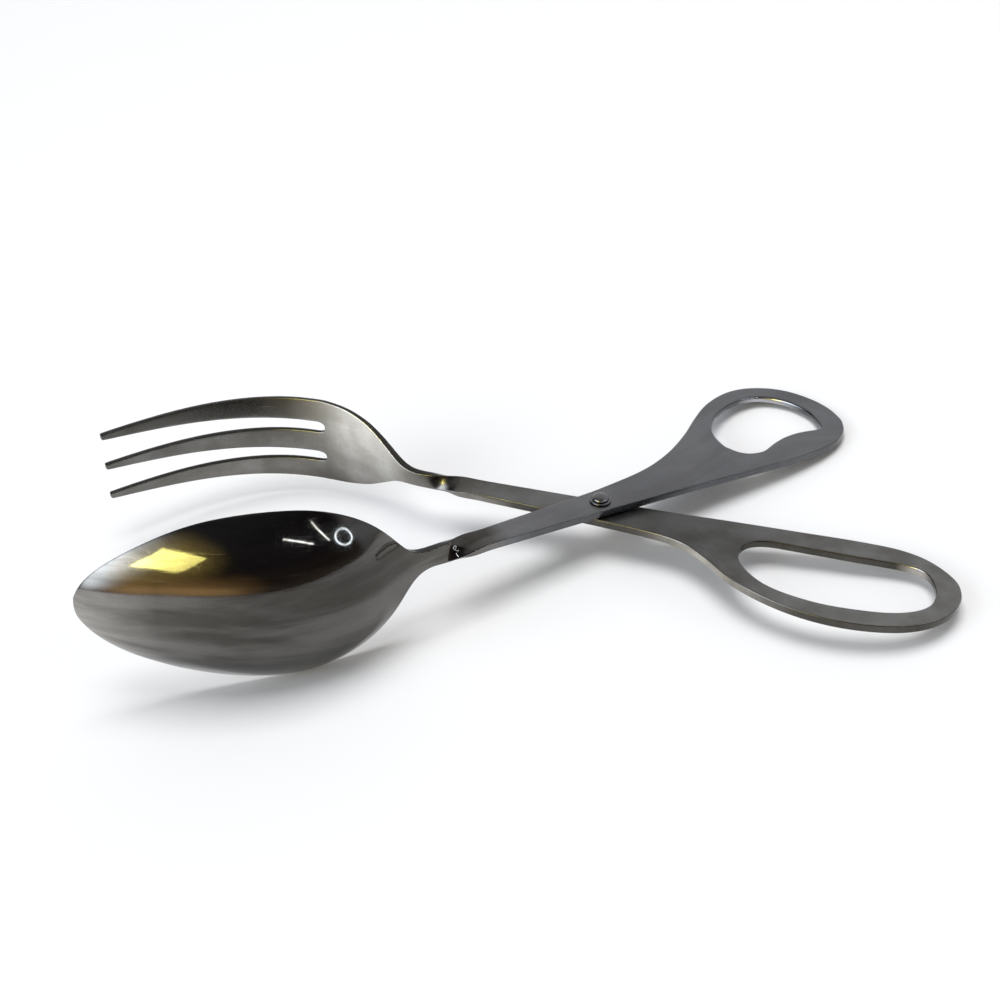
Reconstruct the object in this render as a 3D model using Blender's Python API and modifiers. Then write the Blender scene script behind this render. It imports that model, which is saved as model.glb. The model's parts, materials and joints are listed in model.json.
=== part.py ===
# Scissor serving tongs: a spoon arm and a fork arm, each stamped from one sheet of steel,
# crossed at a rivet. Both arms lie flat from the handle loop to the neck, where a quarter
# turn stands the head on edge, so that bowl and fork face each other.
#
# Each arm is drawn with the rivet's axis at its origin, its handle along +X and its head
# along -X. The finished tongs rest on the table, as they lie when they are put down.
import math

import bmesh
import bpy
import numpy as np
from mathutils import Matrix, Vector

# Sheet and rivet, in metres
ARM_GAUGE = 0.0025
BOWL_GAUGE = 0.0015
TINE_GAUGE = 0.0017
ARM_GAP = 0.0003
SEAT_GAP = 0.0002
SHANK_RADIUS = 0.0016
SHANK_CLEARANCE = 0.0003
DOME_RADIUS = 0.00245
DOME_HEIGHT = 0.0013
WASHER_RADIUS = 0.00318
WASHER_THICKNESS = 0.0005
TAIL_RADIUS = 0.0034
TAIL_THICKNESS = 0.0009

# Flat arms
OPENING_ANGLE = math.radians(48)
PIVOT_WIDTH = 0.0101
TWIST_START = 0.038
TWIST_LENGTH = 0.018
SPOON_TWIST_WIDTH = 0.0080
SPOON_NECK_WIDTH = 0.0057
SPOON_NECK_RISE = 0.0018
SPOON_PIVOT_SHIFT = 0.00035
SPOON_TWIST_SHIFT = 0.00095
FORK_TWIST_WIDTH = 0.0076
FORK_NECK_WIDTH = 0.0045
FORK_NECK_RISE = -0.0011
FORK_PIVOT_SHIFT = -0.0006
FORK_TWIST_SHIFT = -0.0002

# Bowl. Its reach follows the rim line from the end of the twist.
BOWL_REACH = 0.0979
BOWL_WIDTH = 0.0545
BOWL_DEPTH = 0.0125
BOWL_RISE = -0.0001
BOWL_SETTLE_START = 0.0
BOWL_SETTLE_END = 0.012
BOWL_SHOULDER = 0.038

# Fork. Its reach follows the centre line from the end of the twist.
FORK_REACH = 0.1074
FORK_RISE = 0.00015
FORK_BOW = 0.00124
BOW_FADE_START = 0.050
FORK_SETTLE_START = 0.006
FORK_SETTLE_END = 0.030
FORK_SHOULDER = 0.037
SLOT_START = 0.0375
TINE_PITCH = 0.0106
TINE_WIDTH = 0.0070
TINE_TIP_WIDTH = 0.0018
TINE_TAPER_START = 0.0450

# Thumb loop, on the spoon arm
THUMB_REACH = 0.0934
THUMB_FAR_SIDE = 0.0335
THUMB_NEAR_SIDE = 0.0093
THUMB_HOLE_START = 0.0505
THUMB_END_RIM = 0.0069
THUMB_FAR_RIM = 0.0059
THUMB_NEAR_RIM = 0.0079

# Finger loop, on the fork arm
FINGER_REACH = 0.1046
FINGER_FAR_SIDE = 0.0076
FINGER_NEAR_SIDE = 0.0309
FINGER_HOLE_START = 0.0429
FINGER_END_RIM = 0.0067
FINGER_FAR_RIM = 0.0074
FINGER_NEAR_RIM = 0.0062

# Outlines in shares of the loop's reach and of its full width, from the rivet to the end.
# The second number counts from the near side (0) to the far side (1).
THUMB_FAR_SHARES = [(0.16, 0.378), (0.25, 0.416), (0.36, 0.512), (0.471, 0.661)]
THUMB_FAR_RING_SHARES = [(0.557, 0.804), (0.653, 0.935), (0.765, 1.0), (0.851, 0.963),
                         (0.937, 0.822), (0.987, 0.603), (1.0, 0.411), (0.988, 0.245)]
THUMB_NEAR_SHARES = [(0.107, 0.091), (0.321, 0.061), (0.4925, 0.030)]
THUMB_NEAR_RING_SHARES = [(0.664, 0.002), (0.75, 0.0), (0.829, 0.009), (0.90, 0.049),
                          (0.955, 0.136), (0.988, 0.245)]
FINGER_FAR_SHARES = [(0.191, 0.932), (0.354, 0.958)]
FINGER_FAR_RING_SHARES = [(0.554, 0.982), (0.717, 1.0), (0.827, 0.987), (0.894, 0.930),
                          (0.949, 0.823), (0.988, 0.693), (1.0, 0.548)]
FINGER_NEAR_SHARES = [(0.134, 0.631), (0.21, 0.605), (0.268, 0.553), (0.335, 0.426)]
FINGER_NEAR_RING_SHARES = [(0.4015, 0.2675), (0.4876, 0.1325), (0.593, 0.034), (0.698, 0.0),
                           (0.803, 0.0286), (0.889, 0.1065), (0.952, 0.236), (0.9895, 0.40),
                           (1.0, 0.548)]

# Hole edges in shares of the hole's own length and width. Both edges of a hole share their
# first and last point. The thumb hole's near edge has a bump for the ball of the thumb.
THUMB_HOLE_FAR_SHARES = [(0.0, 0.34), (0.06, 0.635), (0.19, 0.82), (0.40, 0.96), (0.60, 1.0),
                         (0.78, 0.94), (0.936, 0.72), (1.0, 0.40), (0.953, 0.14)]
THUMB_HOLE_NEAR_SHARES = [(0.0, 0.34), (0.01, 0.197), (0.10, 0.04), (0.24, 0.0), (0.40, 0.07),
                          (0.55, 0.115), (0.69, 0.115), (0.80, 0.085), (0.86, 0.06),
                          (0.92, 0.075), (0.953, 0.14)]
FINGER_HOLE_FAR_SHARES = [(0.0, 0.67), (0.035, 0.887), (0.11, 0.965), (0.31, 0.985),
                          (0.58, 0.99), (0.80, 1.0), (0.905, 0.965), (0.967, 0.845),
                          (1.0, 0.57)]
FINGER_HOLE_NEAR_SHARES = [(0.0, 0.67), (0.013, 0.526), (0.062, 0.357), (0.15, 0.185),
                           (0.262, 0.076), (0.46, 0.0), (0.64, 0.015), (0.81, 0.08),
                           (0.92, 0.197), (0.982, 0.35), (1.0, 0.57)]

# How far each head has turned towards the other arm, in degrees, at shares of its reach
SPOON_BEND_SHARES = [(0.0, 0.0), (0.17, 7.8), (0.36, 14.5), (0.55, 23.5), (0.80, 23.1),
                     (1.0, 34.5)]
FORK_BEND_SHARES = [(0.0, 0.0), (0.071, -26.1), (0.131, -20.2), (0.202, -9.0),
                    (0.3025, -7.5), (0.424, 8.9), (0.605, 28.0), (0.807, 43.2),
                    (1.0, 50.0)]

# Width of each head, as a share of its full width, at shares of its reach
BOWL_WIDTH_SHARES = [(0.04, 0.129), (0.061, 0.169), (0.081, 0.261), (0.122, 0.46),
                     (0.173, 0.653), (0.244, 0.827), (0.335, 0.952), (0.457, 1.0),
                     (0.609, 0.944), (0.772, 0.755), (0.883, 0.545), (1.0, 0.0)]
PALM_WIDTH_SHARES = [(0.037, 0.170), (0.074, 0.230), (0.111, 0.364), (0.139, 0.506),
                     (0.167, 0.630), (0.194, 0.751), (0.2315, 0.858), (0.2685, 0.934),
                     (0.3055, 0.975), (0.352, 1.0), (1.0, 1.0)]

# Mesh counts
ROWS = 12
HALF = ROWS // 2
THIRD = ROWS // 3
STEM_COLUMNS = 7
RING_COLUMNS = 24
ARM_COLUMNS = 6
TWIST_COLUMNS = 9
TURN_STEPS = 40
DOME_STEPS = 8
WELD = 0.00001

ARM_MIDDLE = (ARM_GAP + ARM_GAUGE) / 2
TWIST_END = TWIST_START + TWIST_LENGTH
FORK_WIDTH = 2.0 * TINE_PITCH + TINE_WIDTH


def smooth(share):
    """Ease from 0 to 1 as the share goes from 0 to 1."""
    share = min(max(share, 0.0), 1.0)
    return share * share * (3.0 - 2.0 * share)


def through(keys, at):
    """Value at a place on the smooth curve through (place, value) keys."""
    xs = [key[0] for key in keys]
    ys = [key[1] for key in keys]
    at = min(max(at, xs[0]), xs[-1])
    k = min(max(int(np.searchsorted(xs, at)) - 1, 0), len(xs) - 2)
    slopes = np.gradient(ys, xs)
    span = xs[k + 1] - xs[k]
    t = (at - xs[k]) / span
    return ((2 * t**3 - 3 * t**2 + 1) * ys[k] + (t**3 - 2 * t**2 + t) * span * slopes[k]
            + (3 * t**2 - 2 * t**3) * ys[k + 1] + (t**3 - t**2) * span * slopes[k + 1])


def run_of(points, count):
    """Evenly spaced points, count steps long, on a smooth curve through the given ones."""
    points = np.array(points, float)
    steps = np.sqrt(np.linalg.norm(np.diff(points, axis=0), axis=1))
    knots = np.concatenate([[0.0], np.cumsum(steps)])
    slopes = np.gradient(points, knots, axis=0)
    fine = []
    for k, span in enumerate(steps):
        for t in np.linspace(0.0, 1.0, 16, endpoint=False):
            fine.append((2 * t**3 - 3 * t**2 + 1) * points[k]
                        + (t**3 - 2 * t**2 + t) * span * slopes[k]
                        + (3 * t**2 - 2 * t**3) * points[k + 1]
                        + (t**3 - t**2) * span * slopes[k + 1])
    fine = np.array(fine + [points[-1]])
    length = np.concatenate([[0.0], np.cumsum(np.linalg.norm(np.diff(fine, axis=0), axis=1))])
    even = np.linspace(0.0, length[-1], count + 1)
    return np.stack([np.interp(even, length, fine[:, 0]), np.interp(even, length, fine[:, 1])], 1)


def in_box(shares, low, high):
    """Points given as shares of a box."""
    low, high = np.array(low), np.array(high)
    return [tuple(low + np.array(share) * (high - low)) for share in shares]


def handle_columns(outline, hole, pivot_edges):
    """Flat part from the loop's end to the rivet, one column after another.

    A column holds four points: near edge, near edge of the hole, far edge of the hole and
    far edge. The two hole points are one where the sheet is whole.
    """
    near_stem, near_ring, far_stem, far_ring = outline
    near_hole, far_hole = hole
    near_stem = [pivot_edges[0]] + near_stem
    far_stem = [pivot_edges[1]] + far_stem
    near = split_run(near_stem, near_ring)
    far = split_run(far_stem, far_ring)
    near_inner = run_of(near_hole, RING_COLUMNS)
    far_inner = run_of(far_hole, RING_COLUMNS)
    columns = []
    for k in range(RING_COLUMNS, -1, -1):
        columns.append((near[STEM_COLUMNS + k], near_inner[k], far_inner[k],
                        far[STEM_COLUMNS + k]))
    web = near_inner[0] - (near[STEM_COLUMNS] + far[STEM_COLUMNS]) / 2
    for k in range(STEM_COLUMNS - 1, -1, -1):
        middle = (near[k] + far[k]) / 2 + web * (k / STEM_COLUMNS) ** 2
        columns.append((near[k], middle, middle, far[k]))
    return columns


def split_run(stem, ring):
    """One smooth edge, with its own even steps before and after the start of the hole."""
    whole = run_of(stem + ring, 400)
    turn = int(np.argmin(np.linalg.norm(whole - np.array(stem[-1]), axis=1)))
    first = run_of(whole[:turn + 1], STEM_COLUMNS)
    second = run_of(whole[turn:], RING_COLUMNS)
    return np.concatenate([first, second[1:]])


def head_path(bends, reach, side, shifts, rises, settle):
    """Middle of the sheet from the rivet to the head's tip, as a function of distance."""
    fine = np.linspace(0.0, TWIST_END + reach, 1200)
    angle = np.radians([through(bends, (d - TWIST_END) / reach) if d > TWIST_END else bends[0][1]
                        for d in fine])
    step = fine[1] - fine[0]
    x = -np.concatenate([[0.0], np.cumsum(np.cos((angle[1:] + angle[:-1]) / 2) * step)])
    y = side * np.concatenate([[0.0], np.cumsum(np.sin((angle[1:] + angle[:-1]) / 2) * step)])
    arm_rise, neck_rise, head_rise = rises

    def frame(d):
        turn = smooth((d - TWIST_START) / TWIST_LENGTH)
        settled = smooth((d - TWIST_END - settle[0]) / (settle[1] - settle[0]))
        rise = arm_rise + (neck_rise - arm_rise) * turn + (head_rise - neck_rise) * settled
        shift = shifts[0] + (shifts[1] - shifts[0]) * min(d / TWIST_START, 1.0)
        bend = np.interp(d, fine, angle)
        centre = Vector((np.interp(d, fine, x), np.interp(d, fine, y) + shift, rise))
        level = Vector((side * math.sin(bend), math.cos(bend), 0.0))
        upright = Vector((0.0, 0.0, 1.0))
        twist = math.pi / 2 * turn
        across = level * math.cos(twist) + upright * math.sin(twist)
        face = upright * math.cos(twist) - level * math.sin(twist)
        return centre, across, face

    return frame


def arm_half_width(d, twist_width, neck_width):
    """Half the arm's width between the rivet and the neck."""
    if d < TWIST_START:
        return (PIVOT_WIDTH + (twist_width - PIVOT_WIDTH) * d / TWIST_START) / 2
    turn = smooth((d - TWIST_START) / TWIST_LENGTH)
    return (twist_width + (neck_width - twist_width) * turn) / 2


def head_half_width(d, neck_width, width, reach, shares):
    """Half a head's width. The table is read in squares, so that a tip comes out round."""
    squares = [(0.0, (neck_width / width) ** 2)] + [(at, share**2) for at, share in shares]
    return width / 2 * math.sqrt(max(through(squares, (d - TWIST_END) / reach), 0.0))


def bowl_half_width(d):
    """Half the spoon arm's width at a distance from the rivet."""
    if d < TWIST_END:
        return arm_half_width(d, SPOON_TWIST_WIDTH, SPOON_NECK_WIDTH)
    return head_half_width(d, SPOON_NECK_WIDTH, BOWL_WIDTH, BOWL_REACH, BOWL_WIDTH_SHARES)


def bowl_dish(d, across_share):
    """How far the bowl's sheet stands out behind its rim line."""
    fullness = (bowl_half_width(d) / (BOWL_WIDTH / 2)) ** 1.6
    start = smooth((d - TWIST_END) / BOWL_SHOULDER * 2.0)
    section = 1.0 - 0.85 * across_share**2 - 0.15 * across_share**4
    return BOWL_DEPTH * fullness * start * section


def tine_width(d):
    """Width of every tine at a distance from the rivet, before its tip is rounded."""
    share = (d - TWIST_END - TINE_TAPER_START) / (FORK_REACH - TINE_TAPER_START)
    return TINE_WIDTH + (TINE_TIP_WIDTH - TINE_WIDTH) * max(share, 0.0) ** 1.5


def fork_edges(d):
    """Edges of the three tines, low to high; they meet in the palm and along the arm."""
    line = TINE_PITCH / 2
    start = TWIST_END + SLOT_START
    if d <= start:
        outer = arm_half_width(d, FORK_TWIST_WIDTH, FORK_NECK_WIDTH)
        if d > TWIST_END:
            outer = head_half_width(d, FORK_NECK_WIDTH, FORK_WIDTH, FORK_REACH,
                                    PALM_WIDTH_SHARES)
        line *= outer / (FORK_WIDTH / 2)
        return [-outer, -line, -line, line, line, outer]
    half = tine_width(d) / 2
    slot = (TINE_PITCH - TINE_WIDTH) / 2
    root = min((d - start) / slot, 1.0)
    opened = math.sqrt(1.0 - (1.0 - root) ** 2)
    left = min((TWIST_END + FORK_REACH - d) / (TINE_TIP_WIDTH / 2), 1.0)
    closed = math.sqrt(1.0 - (1.0 - left) ** 2)
    middle = (line + (half - line) * opened) * closed
    inner = TINE_PITCH - (TINE_PITCH - line + (half - TINE_PITCH + line) * opened) * closed
    outer = TINE_PITCH + half * closed
    return [-outer, -inner, -middle, middle, inner, outer]


def fork_bow(d, side):
    """How far the fork's sheet falls back to each side of its middle."""
    settled = smooth((d - TWIST_END - FORK_SETTLE_START) / (FORK_SETTLE_END - FORK_SETTLE_START))
    faded = smooth((d - TWIST_END - BOW_FADE_START) / (FORK_REACH - BOW_FADE_START))
    return FORK_BOW * settled * (1.0 - faded) * (2.0 * side / FORK_WIDTH) ** 2


def spread(edges, rows):
    """Even rows between each pair of edges; a slit has its edges listed twice."""
    out = []
    for low, high in zip(edges[::2], edges[1::2]):
        out.append([low + (high - low) * k / rows for k in range(rows + 1)])
    return out


def stations(reach, ends, count, tip_round):
    """Distances of the head's columns, closer together towards the round tip."""
    flat = [TWIST_START * k / ARM_COLUMNS for k in range(1, ARM_COLUMNS)]
    turn = [TWIST_START + TWIST_LENGTH * k / TWIST_COLUMNS for k in range(TWIST_COLUMNS)]
    body = []
    edges = [0.0] + ends + [reach - tip_round]
    for low, high in zip(edges[:-1], edges[1:]):
        steps = max(round(count * (high - low) / reach), 1)
        body += [TWIST_END + low + (high - low) * k / steps for k in range(steps)]
    tip = [TWIST_END + reach - tip_round * (1.0 - math.sin(math.pi / 2 * k / 6))
           for k in range(7)]
    return flat + turn + body + tip


def stamp(name, handle, head, slits, place_head, gauge, head_gauge, middle):
    """One arm: a grid slit along its rows, opened out and formed, then given its gauge."""
    columns = len(handle) + len(head) - 2
    bm = bmesh.new()
    bmesh.ops.create_grid(bm, x_segments=columns, y_segments=ROWS, size=1.0)
    layer = bm.verts.layers.deform.verify()
    index = {}
    for vert in bm.verts:
        index[vert] = (round((vert.co.x + 1.0) / 2.0 * columns),
                       round((vert.co.y + 1.0) / 2.0 * ROWS))
    cuts = []
    for edge in bm.edges:
        (i0, j0), (i1, j1) = index[edge.verts[0]], index[edge.verts[1]]
        for row, first, last in slits:
            if j0 == j1 == row and first <= min(i0, i1) and max(i0, i1) <= last:
                cuts.append(edge)
    bmesh.ops.split_edges(bm, edges=cuts)
    places = {}
    for vert in bm.verts:
        i = round((vert.co.x + 1.0) / 2.0 * columns)
        j = round((vert.co.y + 1.0) / 2.0 * ROWS)
        beside = sum(face.calc_center_median().y for face in vert.link_faces)
        upper = beside / len(vert.link_faces) > vert.co.y
        places[vert] = place(i, j, upper, handle, head, place_head, middle)
    for vert, (spot, share) in places.items():
        vert.co = spot
        vert[layer][0] = share
    bmesh.ops.remove_doubles(bm, verts=bm.verts, dist=WELD)
    bmesh.ops.recalc_face_normals(bm, faces=bm.faces)
    mesh = bpy.data.meshes.new(name)
    bm.to_mesh(mesh)
    bm.free()
    arm = bpy.data.objects.new(name, mesh)
    arm.vertex_groups.new(name="gauge")
    wall = arm.modifiers.new("gauge", "SOLIDIFY")
    wall.thickness = gauge
    wall.offset = 0.0
    wall.use_even_offset = True
    wall.vertex_group = "gauge"
    wall.thickness_vertex_group = head_gauge / gauge
    return arm


def place(i, j, upper, handle, head, place_head, middle):
    """Where a grid point of the blank goes, and its share of the full gauge."""
    if i < len(handle):
        near, near_hole, far_hole, far = handle[i]
        if j < HALF or (j == HALF and not upper):
            flat = near + (near_hole - near) * (j / HALF)
        else:
            flat = far_hole + (far - far_hole) * ((j - HALF) / HALF)
        return Vector((flat[0], flat[1], middle)), 1.0
    return place_head(head[i - len(handle) + 1], j, upper)


def material(name, colour, roughness):
    finish = bpy.data.materials.new(name)
    finish.use_nodes = True
    shader = finish.node_tree.nodes["Principled BSDF"]
    shader.inputs["Base Color"].default_value = (*colour, 1.0)
    shader.inputs["Metallic"].default_value = 1.0
    shader.inputs["Roughness"].default_value = roughness
    return finish


def shade(thing, angle):
    thing.data.shade_smooth()
    thing.data.set_sharp_from_angle(angle=math.radians(angle))


def spoon_arm():
    frame = head_path(SPOON_BEND_SHARES, BOWL_REACH, 1.0,
                      (SPOON_PIVOT_SHIFT, SPOON_TWIST_SHIFT),
                      (ARM_MIDDLE, SPOON_NECK_RISE, BOWL_RISE),
                      (BOWL_SETTLE_START, BOWL_SETTLE_END))

    def place_head(d, j, upper):
        share = 2.0 * j / ROWS - 1.0
        centre, across, face = frame(d)
        spot = centre + across * (bowl_half_width(d) * share)
        if d > TWIST_END:
            spot += face * bowl_dish(d, share)
        return spot, 1.0 - smooth((d - TWIST_END) / BOWL_SHOULDER)

    low = (0.0, -THUMB_NEAR_SIDE)
    high = (THUMB_REACH, THUMB_FAR_SIDE)
    hole_low = (THUMB_HOLE_START, THUMB_NEAR_RIM - THUMB_NEAR_SIDE)
    hole_high = (THUMB_REACH - THUMB_END_RIM, THUMB_FAR_SIDE - THUMB_FAR_RIM)
    outline = [in_box(shares, low, high) for shares in (
        THUMB_NEAR_SHARES, THUMB_NEAR_RING_SHARES, THUMB_FAR_SHARES, THUMB_FAR_RING_SHARES)]
    hole = [in_box(shares, hole_low, hole_high)
            for shares in (THUMB_HOLE_NEAR_SHARES, THUMB_HOLE_FAR_SHARES)]
    edges = [(0.0, SPOON_PIVOT_SHIFT - PIVOT_WIDTH / 2),
             (0.0, SPOON_PIVOT_SHIFT + PIVOT_WIDTH / 2)]
    handle = handle_columns(outline, hole, edges)
    head = [0.0] + stations(BOWL_REACH, [], 30, BOWL_REACH / 4)
    slits = [(HALF, 0, RING_COLUMNS)]
    return stamp("spoon_arm", handle, head, slits, place_head, ARM_GAUGE, BOWL_GAUGE,
                 ARM_MIDDLE)


def fork_arm():
    frame = head_path(FORK_BEND_SHARES, FORK_REACH, -1.0,
                      (FORK_PIVOT_SHIFT, FORK_TWIST_SHIFT),
                      (-ARM_MIDDLE, FORK_NECK_RISE, FORK_RISE),
                      (FORK_SETTLE_START, FORK_SETTLE_END))

    def place_head(d, j, upper):
        strips = spread(fork_edges(d), THIRD)
        strip = min(j // THIRD, 2)
        if j % THIRD == 0 and 0 < j < ROWS and not upper:
            strip = j // THIRD - 1
        centre, across, face = frame(d)
        thin = smooth((d - TWIST_END) / FORK_SHOULDER)
        side = strips[strip][j - strip * THIRD]
        return centre + across * side - face * fork_bow(d, side), 1.0 - thin

    low = (0.0, -FINGER_NEAR_SIDE)
    high = (FINGER_REACH, FINGER_FAR_SIDE)
    hole_low = (FINGER_HOLE_START, FINGER_NEAR_RIM - FINGER_NEAR_SIDE)
    hole_high = (FINGER_REACH - FINGER_END_RIM, FINGER_FAR_SIDE - FINGER_FAR_RIM)
    outline = [in_box(shares, low, high) for shares in (
        FINGER_NEAR_SHARES, FINGER_NEAR_RING_SHARES, FINGER_FAR_SHARES,
        FINGER_FAR_RING_SHARES)]
    hole = [in_box(shares, hole_low, hole_high)
            for shares in (FINGER_HOLE_NEAR_SHARES, FINGER_HOLE_FAR_SHARES)]
    edges = [(0.0, FORK_PIVOT_SHIFT - PIVOT_WIDTH / 2),
             (0.0, FORK_PIVOT_SHIFT + PIVOT_WIDTH / 2)]
    handle = handle_columns(outline, hole, edges)
    slot_end = (TINE_PITCH - TINE_WIDTH) / 2
    root = [SLOT_START + slot_end * (1.0 - math.cos(math.pi / 2 * k / 4)) for k in range(5)]
    head = [0.0] + stations(FORK_REACH, root, 34, TINE_TIP_WIDTH / 2)
    slot = TWIST_END + SLOT_START
    first = len(handle) - 1 + min(k for k, d in enumerate(head) if d >= slot - WELD)
    last = len(handle) + len(head) - 2
    slits = [(HALF, 0, RING_COLUMNS), (THIRD, first, last), (2 * THIRD, first, last)]
    return stamp("fork_arm", handle, head, slits, place_head, ARM_GAUGE, TINE_GAUGE,
                 -ARM_MIDDLE)


def turned(name, profile, closed):
    """A piece turned about the rivet's axis from its outer profile, top to bottom."""
    bm = bmesh.new()
    verts = [bm.verts.new((x, 0.0, z)) for x, z in profile]
    for first, second in zip(verts[:-1], verts[1:]):
        bm.edges.new((first, second))
    if closed:
        bm.edges.new((verts[-1], verts[0]))
    mesh = bpy.data.meshes.new(name)
    bm.to_mesh(mesh)
    bm.free()
    piece = bpy.data.objects.new(name, mesh)
    turn = piece.modifiers.new("turn", "SCREW")
    turn.steps = TURN_STEPS
    turn.render_steps = TURN_STEPS
    turn.use_merge_vertices = True
    turn.merge_threshold = WELD
    turn.use_smooth_shade = True
    weld = piece.modifiers.new("weld", "WELD")
    weld.merge_threshold = WELD
    return piece


def rivet():
    arm_top = ARM_GAP / 2 + ARM_GAUGE
    dome_base = arm_top + SEAT_GAP + WASHER_THICKNESS + SEAT_GAP
    profile = []
    for k in range(DOME_STEPS + 1):
        angle = math.pi / 2 * k / DOME_STEPS
        profile.append((DOME_RADIUS * math.sin(angle),
                        dome_base + DOME_HEIGHT * math.cos(angle)))
    tail_top = -arm_top - SEAT_GAP
    corner = TAIL_THICKNESS / 3
    profile += [(SHANK_RADIUS, dome_base), (SHANK_RADIUS, tail_top), (TAIL_RADIUS, tail_top),
                (TAIL_RADIUS, tail_top - TAIL_THICKNESS + corner),
                (TAIL_RADIUS - corner, tail_top - TAIL_THICKNESS),
                (0.0, tail_top - TAIL_THICKNESS)]
    return turned("rivet", profile, False)


def washer():
    bottom = ARM_GAP / 2 + ARM_GAUGE + SEAT_GAP
    top = bottom + WASHER_THICKNESS
    bore = SHANK_RADIUS + SHANK_CLEARANCE
    corner = WASHER_THICKNESS / 3
    profile = [(bore, top), (WASHER_RADIUS - corner, top), (WASHER_RADIUS, top - corner),
               (WASHER_RADIUS, bottom), (bore, bottom)]
    return turned("rivet_washer", profile, True)


def rivet_hole(arm, cutters):
    """Cuts the hole for the rivet's shank in an arm."""
    height = 4.0 * (ARM_GAUGE + ARM_GAP)
    bm = bmesh.new()
    bmesh.ops.create_cone(bm, cap_ends=True, segments=TURN_STEPS, depth=height,
                          radius1=SHANK_RADIUS + SHANK_CLEARANCE,
                          radius2=SHANK_RADIUS + SHANK_CLEARANCE)
    mesh = bpy.data.meshes.new("cut_" + arm.name)
    bm.to_mesh(mesh)
    bm.free()
    tool = bpy.data.objects.new("cut_" + arm.name, mesh)
    tool.hide_render = True
    tool.display_type = "WIRE"
    tool.parent = arm
    cutters.objects.link(tool)
    hole = arm.modifiers.new("rivet hole", "BOOLEAN")
    hole.operation = "DIFFERENCE"
    hole.solver = "EXACT"
    hole.object = tool


def solids_of(pieces):
    """World points and triangles of each piece, as modified."""
    bpy.context.view_layer.update()
    graph = bpy.context.evaluated_depsgraph_get()
    out = []
    for piece in pieces:
        done = piece.evaluated_get(graph)
        mesh = done.to_mesh()
        mesh.calc_loop_triangles()
        points = [done.matrix_world @ vert.co for vert in mesh.vertices]
        triangles = [tuple(tri.vertices) for tri in mesh.loop_triangles]
        out.append((np.array(points), np.array(triangles)))
        done.to_mesh_clear()
    return out


def resting_turn(solids):
    """Turn that puts the tongs on the three points that carry them on a table."""
    volume = 0.0
    moment = np.zeros(3)
    for points, triangles in solids:
        a, b, c = (points[triangles[:, k]] for k in range(3))
        parts = np.einsum("ij,ij->i", a, np.cross(b, c)) / 6.0
        volume += parts.sum()
        moment += (parts[:, None] * (a + b + c) / 4.0).sum(axis=0)
    weight_point = Vector(moment / volume)
    bm = bmesh.new()
    for points, _ in solids:
        for point in points:
            bm.verts.new(point)
    hull = bmesh.ops.convex_hull(bm, input=bm.verts)
    faces = [item for item in hull["geom"] if isinstance(item, bmesh.types.BMFace)]
    best = None
    for face in faces:
        face.normal_update()
        normal = face.normal
        corners = [vert.co for vert in face.verts]
        inside = all((second - first).cross(weight_point - first).dot(normal) >= 0.0
                     for first, second in zip(corners, corners[1:] + corners[:1]))
        if inside and normal.z < 0.0 and (best is None or normal.z < best.z):
            best = normal.copy()
    bm.free()
    return best.rotation_difference(Vector((0.0, 0.0, -1.0))).to_matrix().to_4x4()


def build():
    for old in list(bpy.data.objects):
        bpy.data.objects.remove(old, do_unlink=True)
    tongs = bpy.data.collections.new("scissor_serving_tongs")
    cutters = bpy.data.collections.new("cutters")
    bpy.context.scene.collection.children.link(tongs)
    bpy.context.scene.collection.children.link(cutters)
    base = bpy.data.objects.new("tongs_rest", None)
    pivot = bpy.data.objects.new("pivot_axis", None)
    for empty in (base, pivot):
        tongs.objects.link(empty)
    pivot.parent = base
    pivot.rotation_euler.z = OPENING_ANGLE / 2

    satin = material("satin_steel", (0.42, 0.42, 0.43), 0.38)
    polished = material("polished_steel", (0.55, 0.55, 0.54), 0.12)
    spoon, fork, pin, ring = spoon_arm(), fork_arm(), rivet(), washer()
    spoon.parent = pivot
    fork.parent = base
    fork.rotation_euler.z = -OPENING_ANGLE / 2
    pin.parent = base
    ring.parent = base
    for piece, finish in ((spoon, polished), (fork, satin), (pin, polished), (ring, satin)):
        piece.data.materials.append(finish)
        tongs.objects.link(piece)
    for arm in (spoon, fork):
        rivet_hole(arm, cutters)
        shade(arm, 40)

    pieces = (spoon, fork, pin, ring)
    turn = resting_turn(solids_of(pieces))
    base.matrix_world = turn
    points = np.concatenate([points for points, _ in solids_of(pieces)])
    low, high = points.min(axis=0), points.max(axis=0)
    middle = (low + high) / 2
    base.matrix_world = Matrix.Translation((-middle[0], -middle[1], -low[2])) @ turn
    bpy.context.view_layer.update()


build()
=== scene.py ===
import json
import math

import bmesh
import bpy
import numpy as np
from mathutils import Matrix, Vector


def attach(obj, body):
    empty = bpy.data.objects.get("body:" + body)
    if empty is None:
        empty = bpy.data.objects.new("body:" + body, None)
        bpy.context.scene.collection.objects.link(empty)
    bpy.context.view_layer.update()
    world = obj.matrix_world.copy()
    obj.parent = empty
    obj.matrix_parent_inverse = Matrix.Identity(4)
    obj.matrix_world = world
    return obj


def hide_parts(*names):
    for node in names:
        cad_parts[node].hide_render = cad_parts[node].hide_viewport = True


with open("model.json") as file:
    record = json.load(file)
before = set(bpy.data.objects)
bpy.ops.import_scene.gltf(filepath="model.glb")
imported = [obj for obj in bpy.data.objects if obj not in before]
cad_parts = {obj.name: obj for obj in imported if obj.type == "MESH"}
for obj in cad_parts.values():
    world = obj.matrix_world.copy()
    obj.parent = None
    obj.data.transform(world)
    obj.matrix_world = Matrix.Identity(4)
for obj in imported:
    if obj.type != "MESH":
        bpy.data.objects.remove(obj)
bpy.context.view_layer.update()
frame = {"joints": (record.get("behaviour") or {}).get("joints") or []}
print("frame loaded")

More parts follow.
